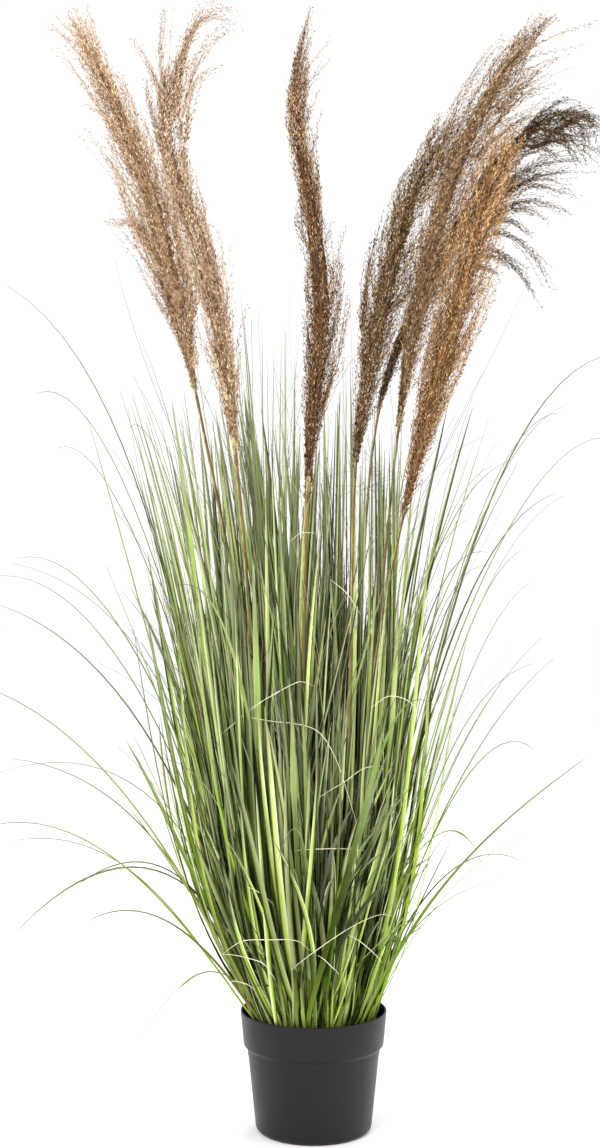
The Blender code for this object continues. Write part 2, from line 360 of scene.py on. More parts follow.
def bladeFinish(form):
    finish = Finish("grassBlade", {"Specular IOR Level": form["shine"]})
    pick, stripe, within, along, side = finish.painted("pick", "stripe", "within", "along", "side")
    streaks = finish.noise(finish.point(side * 2.2 + pick * 40, along * 2.5, stripe * 30), 3.0, 3.0)
    blotch = finish.noise(finish.point(pick * 60, along * 7, stripe * 9), 1.0)
    lean = side * (stripe * 2 - 1)  # above 0 on a blade's half with the painted highlight, below 0 on its half with the painted shade
    body = finish.cover(
        finish.ramp(pick, form, form["stops"]), form,
        # paler and greyer towards the blades' upper parts
        ((along - 0.42) * 0.8, "paleUpper"),
        # painted shade on one half of each blade and a painted highlight on the other, as if light fell
        # across the fold
        (finish.clear((streaks * 0.5 - lean - 0.42) * 2.6) * 0.92, "deep"),
        (finish.clear((lean + streaks * 0.5 - 0.40) * 3.2) * 0.85, "highlightCream"),
        ((blotch - 0.5) * 1.2, "deep"),
        ((0.09 - along) * 4, "foot"),
        (finish.clear((along + streaks * 0.16 - 0.84) * 4.2) * (0.3 + pick * 0.8), "tip"),
        # painted shade among the blades
        (within, "deep"),
    )
    ribs = finish.maths("SINE", side * 22.0) * (1 - along)
    normal = finish.bump(ribs + streaks * 1.5, 0.35, form["vein"])
    return finish.feed(Base_Color=body, Roughness=form["roughness"] + streaks * 0.2, Normal=normal)


bladeMaterial = bladeFinish(bladeForm)


def bladePart(lines, facing, halfWidths, pick, stripe):
    count, stations = lines.shape[:2]
    points = stripPoints(lines, facing, halfWidths, bladeForm["section"])
    along = np.linspace(0, 1, stations)[None, :, None]
    side = np.array([-1.0, 0, 1.0, 0])
    rows = max(1, round(math.sqrt(count / 60)))  # on the flat map the blades stand in rows
    columns = math.ceil(count / rows)
    row, column = np.divmod(np.arange(count)[:, None, None], columns)
    painted = {
        "along": along,
        "side": side,
        "pick": pick[:, None, None],
        # sets which half of the blade gets the painted highlight, and how strongly
        "stripe": stripe[:, None, None],
        "mapU": (column + 0.5 + side * 0.44) / columns,
        "mapV": (row + 0.02 + along * 0.96) / rows,
    }
    return asPart(points, stripFaces(count, stations, 4), painted)


def taper(share, widest, power):  # full width near the foot, drawn out to a hair
    return np.clip(0.62 + share / widest, 0, 1) * np.clip(1 - share**power, 0, 1) ** 0.9 + 0.06


bunchRings = {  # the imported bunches, ring by ring; the blades of a lock share a root and a lean
    "outer": {
        "count": 10, "radius": (0.044, 0.073), "start": -12, "locks": 46, "blades": 12, "seed": 11,
        "tips": (0.40, 0.84), "push": (0.80, 1.06), "arch": 0.026, "stray": 0.020, "cross": 0.019,
        "fan": 0.016, "width": (0.0014, 0.0042), "shaded": (0.08, 0.36), "frontCut": 0.42, "lean": 0.0,
        "tall": False,
    },
    "middle": {
        "count": 5, "radius": (0.014, 0.050), "start": 22, "locks": 28, "blades": 12, "seed": 12,
        "tips": (0.50, 0.84), "push": (0.95, 1.5), "arch": 0.030, "stray": 0.024, "cross": 0.036,
        "fan": 0.015, "width": (0.0018, 0.0048), "shaded": (0.24, 0.42), "frontCut": 0.20, "lean": -0.016,
        "tall": True,
    },
    "inner": {
        "count": 3, "radius": (0.002, 0.026), "start": 60, "locks": 14, "blades": 12, "seed": 13,
        "tips": (0.54, 0.86), "push": (0.9, 2.2), "arch": 0.030, "stray": 0.028, "cross": 0.046,
        "fan": 0.013, "width": (0.0017, 0.0044), "shaded": (0.36, 0.55), "frontCut": 0.0, "lean": -0.016,
        "tall": False,
    },
}
tallLocks = (  # tufts that stand clear above the rest: tip x y z, half way x y, all in mm, blades
    (-236, -30, 985, -154, -20, 6), (-208, 20, 890, -162, 10, 9), (-195, 60, 970, -146, 40, 4),
    (-160, -20, 950, -126, -20, 7), (-150, 50, 985, -112, 40, 4), (-100, 30, 990, -76, 20, 5),
    (-135, 80, 955, -118, 60, 9), (-116, 10, 950, -83, 10, 13), (-90, 20, 965, -38, 10, 13),
    (-80, 70, 965, -44, 50, 12), (-78, 100, 1050, -50, 70, 3), (-40, 40, 1045, -52, 30, 2),
    (-38, -20, 935, -20, -20, 8), (-16, -30, 920, -30, -30, 9), (2, -20, 915, -10, -20, 14),
    (6, 60, 920, 20, 50, 5), (18, 30, 975, 16, 20, 12), (31, 80, 1020, 36, 60, 9),
    (48, -40, 920, 50, -40, 8), (105, 50, 1020, 80, 40, 1), (88, 10, 960, 90, 10, 8),
    (90, 90, 930, 92, 60, 5), (203, 30, 955, 134, 20, 2), (231, -30, 905, 129, -30, 3),
    (-88, -20, 1125, -60, -20, 3), (-70, 20, 1090, -62, 10, 4), (-98, 50, 1065, -72, 30, 4),
    (-38, 10, 1085, -40, 10, 3), (-30, 40, 1045, -34, 30, 3), (152, 0, 870, 118, 0, 6),
    (-60, 200, 930, -50, 130, 8), (16, 220, 870, 10, 140, 5), (112, 130, 900, 102, 90, 5),
)
tuftForm = {
    "seat": 0.34,  # how near the axis a tall tuft is rooted, as a share of its place half way up
    "halfWay": 0.66,
    "curlPower": 2.2,
    "steady": 0.22,  # how much of the other blades' straying it has
    "fan": 0.007,
}
strayForm = {
    "rootScatter": 0.0055,
    "tipScatter": 0.085,
    "archPower": 2.6,
    "wildShare": 0.13,  # share of the blades that lean across their neighbours
    "wildReach": 0.085,
    "farOut": 0.235,
}


def sideLean(azimuth):  # how much further out the clump opens at an azimuth
    across = np.cos(np.radians(azimuth))
    return 1 - np.where(across > 0, clumpForm["right"], clumpForm["left"]) * across


def growBlades(rng, lock, roots, aims, curls, steady, tips, form):
    count, locks = len(roots), lock[-1] + 1
    share = np.linspace(0, 1, bladeForm["stations"])[None, :]
    height = clumpForm["rootHeight"] + (tips[:, None] - clumpForm["rootHeight"]) * share

    def shared(wide, fine):  # mostly the same for a whole lock
        return rng.normal(0, wide, locks)[lock] + rng.normal(0, fine, count)

    def anyWay(fine):
        return rng.uniform(0, math.tau, locks)[lock] + rng.normal(0, fine, count)

    outward = np.arctan2(roots[:, 1], roots[:, 0]) + shared(0.4, 0.4)
    strayAngle, crossAngle = anyWay(0.5), anyWay(0.6)
    arch = np.abs(rng.normal(0, form["arch"], locks))[lock]
    arch = arch + np.abs(rng.normal(0, form["arch"] * 0.5, count))
    arch = (arch * steady)[:, None] * share ** strayForm["archPower"]
    bends = rng.uniform(1.2, 3.4, locks)[lock] * rng.uniform(0.85, 1.15, count)
    strays = shared(form["stray"], form["stray"] * 0.35) * steady
    stray = strays[:, None] * np.sin(share * bends[:, None])
    crossing = shared(form["cross"], form["cross"] * 0.45) * steady
    isWild = rng.random(count) < strayForm["wildShare"]
    crossing = crossing + isWild * rng.normal(0, strayForm["wildReach"], count)
    cross = crossing[:, None] * np.clip(share - 0.06, 0, 1) ** 1.1
    flat = roots[:, None] + aims[:, None] * (spread(height) - 1)[..., None]
    flat = flat + curls[:, None] * share[..., None] ** tuftForm["curlPower"]
    for angle, size in ((outward, arch), (strayAngle, stray), (crossAngle, cross)):
        flat = flat + np.stack([np.cos(angle), np.sin(angle)], axis=-1)[:, None] * size[..., None]
    flat[..., 1] = clumpForm["depth"] * np.tanh(flat[..., 1] / clumpForm["depth"])
    droop = arch * rng.uniform(0.0, 0.7, count)[:, None] * share
    return np.concatenate([flat, (height - droop)[..., None]], axis=-1)


def tallSeats():  # the root, aim, curl and tip that lead each tall tuft through its two places
    places = np.array(tallLocks) / 1000
    tips, top, halfWay = places[:, :2], places[:, 2:3], places[:, 3:5]
    seats = halfWay * tuftForm["seat"]
    share = (tuftForm["halfWay"] - clumpForm["rootHeight"]) / (top - clumpForm["rootHeight"])
    share = share ** tuftForm["curlPower"]
    low, high = spread(tuftForm["halfWay"]) - 1, spread(top) - 1
    aims = (halfWay - seats - (tips - seats) * share) / (low - high * share)
    return seats, aims, tips - seats - aims * high, top[:, 0]


def bladeFacing(rng, lines):  # mostly facing out, each turned its own way and twisting a little
    count, stations = lines.shape[:2]
    angle = np.arctan2(lines[:, -1, 1], lines[:, -1, 0]) + rng.normal(0, 0.6, count)
    angle = angle[:, None] + np.linspace(0, 1, stations)[None, :] * rng.normal(0, 0.7, count)[:, None]
    return np.stack([np.cos(angle), np.sin(angle), np.zeros_like(angle)], axis=-1)


def bladeTints(rng, count, browned=0.05):
    pick = rng.choice([0.08, 0.24, 0.38, 0.54], count, p=[0.22, 0.24, 0.24, 0.30])
    pick = np.clip(pick + rng.normal(0, 0.05, count), 0.01, 0.64)
    pick = np.where(rng.random(count) < browned, rng.uniform(0.74, 1.0, count), pick)
    # the second value sets how strongly one half of each blade gets the painted highlight and the other the
    # painted shade
    return pick, rng.beta(0.5, 0.5, count)


shadeForm = {  # where the clump is dark inside: an end, and the width over which the shade fades
    "centre": -0.02,
    "top": (0.92, 0.25),
    "lowTop": (0.60, 0.25),
    "edge": (0.15, 0.06),
    "least": 0.22,
    "foot": 0.26,
    "amount": (0.60, 1.0),
    "backs": 0.84,  # the blades' backs, which nothing lights
    "backTop": (1.0, 0.35),
    "backEdge": (0.12, 0.06),
}


def shadeWithin(rng, lines, ring):  # how far each point is in the shade of other blades
    count, height = len(lines), lines[..., 2]
    everywhere, low = ring["shaded"]
    shaded = (rng.random(count) < everywhere)[:, None] * fade(height, *shadeForm["top"])
    shaded = np.maximum(shaded, (rng.random(count) < low)[:, None] * fade(height, *shadeForm["lowTop"]))
    aside = np.abs(lines[..., 0] - shadeForm["centre"])
    shaded = shaded * np.maximum(fade(aside, *shadeForm["edge"]), shadeForm["least"])
    shaded = shaded * np.clip(height / shadeForm["foot"], 0.5, 1)
    shaded = shaded * rng.uniform(*shadeForm["amount"], count)[:, None]
    within = np.repeat(shaded[..., None], 4, axis=2)
    backs = fade(height, *shadeForm["backTop"]) * fade(aside, *shadeForm["backEdge"])
    within[..., 3] = np.maximum(within[..., 3], backs * shadeForm["backs"])
    return within.reshape(-1)


def makeBunches(ringName, ring):
    rng = np.random.default_rng(ring["seed"])
    locks = ring["locks"]
    azimuth = ring["start"] + 360 * np.arange(locks) / locks + rng.normal(0, 5, locks)
    angle = np.radians(azimuth)
    azimuth += 11 * np.sin(2 * angle) + 8 * np.sin(angle)  # fewer at the sides, fewest on the right
    angle = np.radians(azimuth)
    least, most = ring["radius"]
    seats = around(azimuth, least + (most - least) * np.sqrt(rng.random(locks)), 0)[:, :2]
    aims = seats * (rng.uniform(*ring["push"], locks) * sideLean(azimuth))[:, None] + (ring["lean"], 0)
    short, tall = ring["tips"]
    rise = 1 - ring["frontCut"] * np.clip(-np.sin(angle), 0, 1)
    taller = 1 + clumpForm["taller"] * np.clip(-np.cos(angle), 0, 1)
    tips = (short + (tall - short) * rng.random(locks) * rise) * taller
    forms = [seats, aims, np.zeros((locks, 2)), tips]
    forms += [np.full(locks, value) for value in (ring["blades"], 1.0, ring["fan"])]
    if ring["tall"]:
        blades = [tuft[-1] for tuft in tallLocks]
        more = [np.full(len(blades), tuftForm[key]) for key in ("steady", "fan")]
        forms = [np.concatenate(pair) for pair in zip(forms, (*tallSeats(), blades, *more))]
    blades = forms.pop(4)
    lock = np.repeat(np.arange(len(blades)), blades)
    seats, aims, curls, tips, steady, fan = (form[lock] for form in forms)
    count = len(lock)
    roots = seats + rng.normal(0, strayForm["rootScatter"], (count, 2))
    roots /= np.maximum(np.linalg.norm(roots, axis=1, keepdims=True) / clumpForm["mouth"], 1)
    aims = aims + rng.normal(0, 1, (count, 2)) * fan[:, None]
    tips = tips - np.abs(rng.normal(0, strayForm["tipScatter"], count)) * (0.35 + 0.65 * steady)
    tips = np.maximum(tips, clumpForm["lowestTip"])
    lines = growBlades(rng, lock, roots, aims, curls, steady, tips, ring)
    slim, wide = ring["width"]
    widths = (slim + (wide - slim) * rng.random(count) ** 1.4)[:, None]
    pick, stripe = bladeTints(rng, count)
    widths = widths * taper(np.linspace(0, 1, bladeForm["stations"])[None], 0.5, 5.5)
    astray = np.abs(lines[:, -1, 0] + 0.01) > strayForm["farOut"]
    widths[(pick > 0.68) | (tips > 0.97) | astray] *= 0.5  # dry, very tall and stray ones are narrow
    part = bladePart(lines, bladeFacing(rng, lines), widths, pick, stripe)
    part["painted"]["within"] = shadeWithin(rng, lines, ring)
    nodes = [f"blade_bunch_{ringName}_{i + 1}" for i in range(ring["count"])]
    makePiece(f"grass_{ringName}", part, bladeMaterial, nodes)


for ringName, ring in bunchRings.items():
    makeBunches(ringName, ring)
print("bunches grown")


leafForm = {
    "halfWidth": 0.0027,
    "extraSize": 0.70,
    "stations": 24,
    "picks": (0.24, 0.34, 0.70, 0.74),
    "shaded": 0.22,
    "broad": {"leaf_right_8": 1.9, "leaf_left_5": 1.25, "leaf_left_4": 1.2, "leaf_right_1": 1.2,
              "leaf_front_1": 1.3},
}

# azimuth, turn, then root radius, two handles and the tip as distance and height, in mm
packedLeaves = {
    "left": (
        (171, 6, 78, 150, 450, 200, 980, 405, 1105), (180, -6, 78, 130, 550, 260, 1000, 370, 965),
        (162, 6, 78, 130, 420, 290, 780, 410, 745), (189, 4, 78, 120, 340, 220, 620, 405, 685),
        (198, -8, 78, 150, 300, 260, 520, 420, 580), (153, 12, 77, 170, 270, 260, 450, 430, 470),
        (207, -14, 77, 170, 260, 290, 460, 430, 405), (144, 20, 76, 170, 320, 310, 390, 440, 215),
        (216, -14, 76, 150, 240, 230, 350, 310, 290),
    ),
    "right": (
        (9, -4, 78, 130, 500, 230, 970, 390, 1015), (-20, 10, 78, 130, 520, 220, 930, 320, 930),
        (0, 5, 78, 110, 520, 270, 910, 390, 905), (18, 0, 78, 130, 500, 220, 790, 350, 835),
        (-10, 4, 78, 130, 400, 190, 710, 270, 755), (28, -6, 78, 140, 300, 210, 520, 340, 635),
        (-30, 8, 77, 130, 320, 230, 570, 295, 505), (-41, 22, 75, 160, 290, 220, 390, 355, 495),
        (38, -10, 77, 130, 340, 260, 460, 280, 280),
    ),
    "front": (
        (-66, 6, 77, 120, 360, 190, 620, 280, 570), (-92, -8, 77, 110, 300, 190, 500, 250, 390),
        (-118, -6, 77, 120, 420, 190, 740, 290, 710),
    ),
    "back": (
        (62, 8, 77, 140, 400, 240, 660, 370, 640), (84, 4, 77, 120, 500, 220, 880, 340, 860),
        (104, -6, 77, 150, 300, 260, 480, 380, 400), (124, 4, 77, 130, 440, 220, 800, 360, 800),
    ),
}

extraLeaves = {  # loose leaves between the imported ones, in the same form
    "left": (
        (176, -6, 74, 120, 500, 260, 930, 350, 893), (168, -10, 70, 110, 600, 210, 970, 272, 924),
        (186, 8, 76, 130, 400, 260, 730, 405, 722), (195, 10, 75, 160, 250, 240, 420, 415, 400),
        (172, 4, 74, 130, 300, 190, 440, 258, 495), (184, -8, 70, 100, 450, 170, 860, 238, 985),
        (205, 6, 72, 110, 380, 170, 700, 285, 802), (158, -6, 72, 120, 360, 200, 600, 300, 655),
        (212, -4, 74, 130, 260, 190, 240, 255, 135), (174, 6, 74, 120, 420, 200, 700, 395, 738),
        (190, -6, 74, 120, 340, 210, 540, 415, 465), (166, 8, 70, 110, 480, 160, 880, 232, 1040),
        (181, 5, 70, 100, 420, 150, 740, 262, 885), (200, -8, 70, 100, 440, 140, 800, 226, 960),
        (187, 10, 74, 120, 300, 200, 420, 330, 318),
    ),
    "right": (
        (-4, 4, 74, 120, 500, 210, 900, 330, 945), (6, -6, 70, 110, 550, 170, 860, 208, 955),
        (-14, 6, 74, 120, 400, 200, 760, 322, 824), (12, -4, 70, 100, 480, 150, 780, 236, 752),
        (3, 8, 74, 130, 360, 200, 660, 296, 712), (-24, 10, 74, 130, 340, 180, 580, 285, 610),
        (22, -8, 74, 140, 300, 230, 380, 300, 330), (-34, 12, 72, 120, 260, 180, 330, 262, 345),
        (33, -12, 72, 100, 500, 180, 840, 290, 880), (-8, -6, 72, 100, 460, 150, 740, 228, 735),
        (15, 6, 70, 100, 520, 160, 840, 262, 872), (-2, 6, 74, 120, 320, 200, 520, 318, 612),
        (8, -8, 72, 110, 300, 170, 480, 252, 590), (-17, 6, 74, 130, 280, 220, 380, 292, 395),
        (26, 6, 72, 110, 400, 170, 620, 268, 700),
    ),
    "front": (
        (-80, 8, 70, 100, 340, 150, 600, 205, 640), (-104, -10, 68, 90, 400, 140, 720, 215, 760),
        (-55, 14, 70, 100, 400, 160, 740, 245, 790), (-128, -12, 70, 110, 300, 170, 500, 250, 500),
        (-72, -6, 70, 110, 260, 170, 360, 215, 300),
    ),
    "back": (
        (52, 8, 70, 110, 500, 190, 860, 300, 930), (72, -8, 72, 120, 340, 210, 560, 340, 530),
        (94, 8, 72, 100, 440, 190, 740, 320, 740), (114, 8, 70, 110, 520, 180, 920, 270, 1000),
        (134, -8, 72, 130, 300, 220, 460, 330, 430), (88, -14, 72, 140, 250, 240, 360, 330, 270),
    ),
}


def leafLine(form, stations):
    azimuth, turn, *places = form
    rootRadius, *rest = np.array(places) / 1000
    u = np.linspace(0, 1, stations)
    weights = np.stack([(1 - u) ** 3, 3 * u * (1 - u) ** 2, 3 * u**2 * (1 - u), u**3])
    handles = np.reshape([rootRadius, clumpForm["rootHeight"], *rest], (4, 2))
    radius, height = (weights.T @ handles).T
    return around(azimuth + turn * u * u, radius, height)


def makeLongLeaves(side, seed):
    rng = np.random.default_rng(seed)
    nodes = [f"leaf_{side}_{i + 1}" for i in range(len(packedLeaves[side]))]
    forms = packedLeaves[side] + extraLeaves[side]
    count, stations = len(forms), leafForm["stations"]
    lines = np.stack([leafLine(form, stations) for form in forms])
    sizes = np.full(count, leafForm["extraSize"])
    sizes[:len(nodes)] = [leafForm["broad"].get(name, 1.0) for name in nodes]
    widths = leafForm["halfWidth"] * sizes[:, None] * taper(np.linspace(0, 1, stations)[None], 0.5, 2.0)
    azimuth = np.array([form[0] for form in forms]) + rng.normal(0, 20, count)
    facing = around(azimuth, -1.0, 0.6)[:, None, :] * np.ones((1, stations, 1))
    pick = rng.choice(leafForm["picks"], count) + rng.uniform(-0.05, 0.05, count)
    # the last value keeps the painted highlight and shade on the leaves' halves faint
    part = bladePart(lines, facing, widths, pick, rng.uniform(0.32, 0.68, count))
    part["painted"]["within"] = (part["painted"]["along"] + 1) * leafForm["shaded"]
    makePiece(f"long_leaves_{side}", part, bladeMaterial, nodes)


for seed, side in enumerate(("left", "right", "front", "back")):
    makeLongLeaves(side, 31 + seed)
print("long leaves grown")


# Pot and fill: turned shapes

potForm = {
    "rim": 0.0955,
    "height": 0.155,
    "collarFoot": (0.0915, 0.111),
    "bodyTop": (0.0865, 0.107),
    "line": 0.0975,  # height of the faint moulded line under the collar
    "base": 0.0755,
    "wall": 0.002,
    "steps": 112,
    "shade": colour(20, 15, 17),
    "worn": colour(44, 39, 41),
    "shine": 0.29,
    "roughness": 0.40,
}


def rounded(corners, steps=4):  # corners: radius out, height, rounding
    outline = []
    for i, (x, z, size) in enumerate(corners):
        here = np.array([x, z])
        if size == 0:
            outline.append(here)
            continue
        before, after = (unit(np.array(corners[j][:2]) - here) * size + here for j in (i - 1, i + 1))
        for u in np.linspace(0, 1, steps):
            outline.append(before * (1 - u) ** 2 + here * 2 * u * (1 - u) + after * u**2)
    return np.array(outline)


def turnedPart(outline, steps):  # both ends of the outline are on the axis
    ring = outline[1:-1]
    points = around(np.linspace(0, 360, steps, endpoint=False), ring[:, :1], ring[:, 1:])
    points = np.concatenate([points.reshape(-1, 3), around(0, 0, outline[[0, -1], 1])])
    near = np.arange(steps)
    far = np.roll(near, -1)
    row = np.arange(len(ring) - 1)[:, None] * steps
    walls = np.stack([near + row, far + row, far + row + steps, near + row + steps], axis=-1).reshape(-1, 4)
    top, last = np.full(steps, len(ring) * steps), (len(ring) - 1) * steps
    fans = [np.stack([top, far, near], axis=-1), np.stack([top + 1, near + last, far + last], axis=-1)]
    return asPart(points, [walls, *fans], {})


def potFinish(form):
    finish = Finish("potPlastic", {"Specular IOR Level": form["shine"]})
    places = finish.places()
    broad, fine = finish.noise(places, 14, 3), finish.noise(places, 900)
    turned = finish.drawnOut((60, 60, 500))
    scuff = finish.clear((finish.noise(places, 130, 5) - 0.60) * 5) * finish.clear((broad - 0.42) * 4)
    shade = finish.blend(scuff * 0.5 + (broad - 0.5) * 0.35, form["shade"], form["worn"])
    gloss = form["roughness"] + (broad - 0.5) * 0.18 + scuff * 0.2 + (fine - 0.5) * 0.08
    normal = finish.bump(fine * 0.6 + turned * 0.7 + scuff * 0.4, 0.28, 0.0003)
    return finish.feed(Base_Color=shade, Roughness=gloss, Normal=normal)


def makePot(form):
    collarX, collarZ = form["collarFoot"]
    bodyX, bodyZ = form["bodyTop"]
    rim, base, height, line, wall = (form[key] for key in ("rim", "base", "height", "line", "wall"))
    lineX = base + (bodyX - base) / bodyZ * line
    corners = [
        (0, wall, 0), (base - wall, wall, 0.002), (bodyX - wall, bodyZ - 0.001, 0.001),
        (collarX - wall, collarZ, 0.001), (rim - wall - 0.0004, height, 0.0009), (rim, height, 0.0011),
        (rim - 0.0002, height - 0.004, 0.0008), (collarX, collarZ, 0.0012), (bodyX + 0.0004, bodyZ, 0.0014),
        (lineX + 0.0005, line, 0.0004), (lineX, line - 0.0008, 0.0004), (base + 0.0002, 0.004, 0.0015),
        (base - 0.0030, 0.0, 0.0012), (0, 0, 0),
    ]
    part = turnedPart(rounded(corners), form["steps"])
    makePiece("nursery_pot", part, potFinish(form), ["pot"])


makePot(potForm)

fillForm = {
    "radius": 0.0895,
    "height": 0.137,
    "rings": 26,
    "steps": 84,
    "relief": 0.00096,
    "crumbs": 900,
    "crumb": (0.0012, 0.0034),
    "seed": 51,
    "dark": colour(30, 24, 18),
    "pale": colour(92, 74, 54),
    "fibre": colour(128, 104, 70),
}


def fillFinish(form):
    finish = Finish("pottingFill", {"Roughness": 0.95, "Specular IOR Level": 0.25})
    grain, patch = finish.noise(finish.places(), 420, 4), finish.noise(finish.places(), 60, 3)
    shade = finish.cover(form["dark"], form, ((grain - 0.42) * 3, "pale"), ((patch - 0.58) * 4, "fibre"))
    return finish.feed(Base_Color=shade, Normal=finish.bump(grain, 0.7, 0.0012))


def makeFill(form):
    rng = np.random.default_rng(form["seed"])
    foot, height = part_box("potting_fill")[0].z, form["height"]
    outline = [(form["radius"] * share, height) for share in np.linspace(0, 1, form["rings"])]
    outline += [(form["radius"] - 0.004, height - 0.02), (0.0725, foot + 0.002), (0, foot)]
    part = turnedPart(np.array(outline), form["steps"])
    top = part["points"][:, 2] > height - 0.001
    x, y = part["points"][top, :2].T * 190
    lumps = np.sin(x * 1.7 + 1) * np.sin(y * 1.3) + 0.6 * np.sin(x * 3.1 + y * 2.3)
    part["points"][top, 2] += (lumps - 1.0) * form["relief"]
    count = form["crumbs"]
    radius = form["radius"] * np.sqrt(rng.random(count)) * 0.97
    centres = around(rng.uniform(0, 360, count), radius, height + rng.uniform(-0.0010, 0.0008, count))
    crumbs = lumpPart(rng, centres, rng.uniform(*form["crumb"], count))
    makePiece("fill_surface", joinParts([part, crumbs]), fillFinish(form), ["potting_fill"])


def lumpPart(rng, centres, sizes):  # rough eight-sided crumbs
    count = len(centres)
    shape = np.array([(1, 0, 0), (0, 1, 0), (-1, 0, 0), (0, -1, 0), (0, 0, 0.7), (0, 0, -0.7)])
    rough = shape[None] * rng.uniform(0.6, 1.25, (count, 6, 1)) + rng.normal(0, 0.12, (count, 6, 3))
    x, y, z = np.moveaxis(rough, -1, 0)
    turn = rng.uniform(0, math.tau, (count, 1))
    cos, sin = np.cos(turn), np.sin(turn)
    turned = np.stack([x * cos - y * sin, x * sin + y * cos, z], axis=-1)
    points = centres[:, None] + turned * sizes[:, None, None]
    sides = np.array([(i, (i + 1) % 4, 4) for i in range(4)] + [((i + 1) % 4, i, 5) for i in range(4)])
    faces = sides[None] + (np.arange(count) * 6)[:, None, None]
    return asPart(points, [faces.reshape(-1, 3)], {})


makeFill(fillForm)
print("pot and fill made")

# Stalks and plumes

stalkForm = {
    "thinning": 0.30,
    "rise": (0.22, 0.32, 0.45, 0.60),  # heights between which it stands among the blades
    "sides": 10,
    "jointGap": 0.155,  # share of the stalk between its joints
    "sleeve": 0.030,  # share of the stalk that the pale sleeve under a plume covers
    "green": colour(96, 102, 26),
    "olive": colour(128, 112, 40),
    # brown: the stalk's own streaks and joints, and the painted shade on the side away from the light
    "brown": colour(92, 64, 32),
    # painted highlight on the sunlit side
    "highlightGold": colour(226, 212, 138),
    "sleeveShade": colour(216, 200, 128),
    "stops": ((0.0, "green"), (0.5, "olive"), (1.0, "brown")),
    "sunlit": 2.75,  # angle of the left side, painted as sunlit: a painted highlight there and painted shade opposite
}

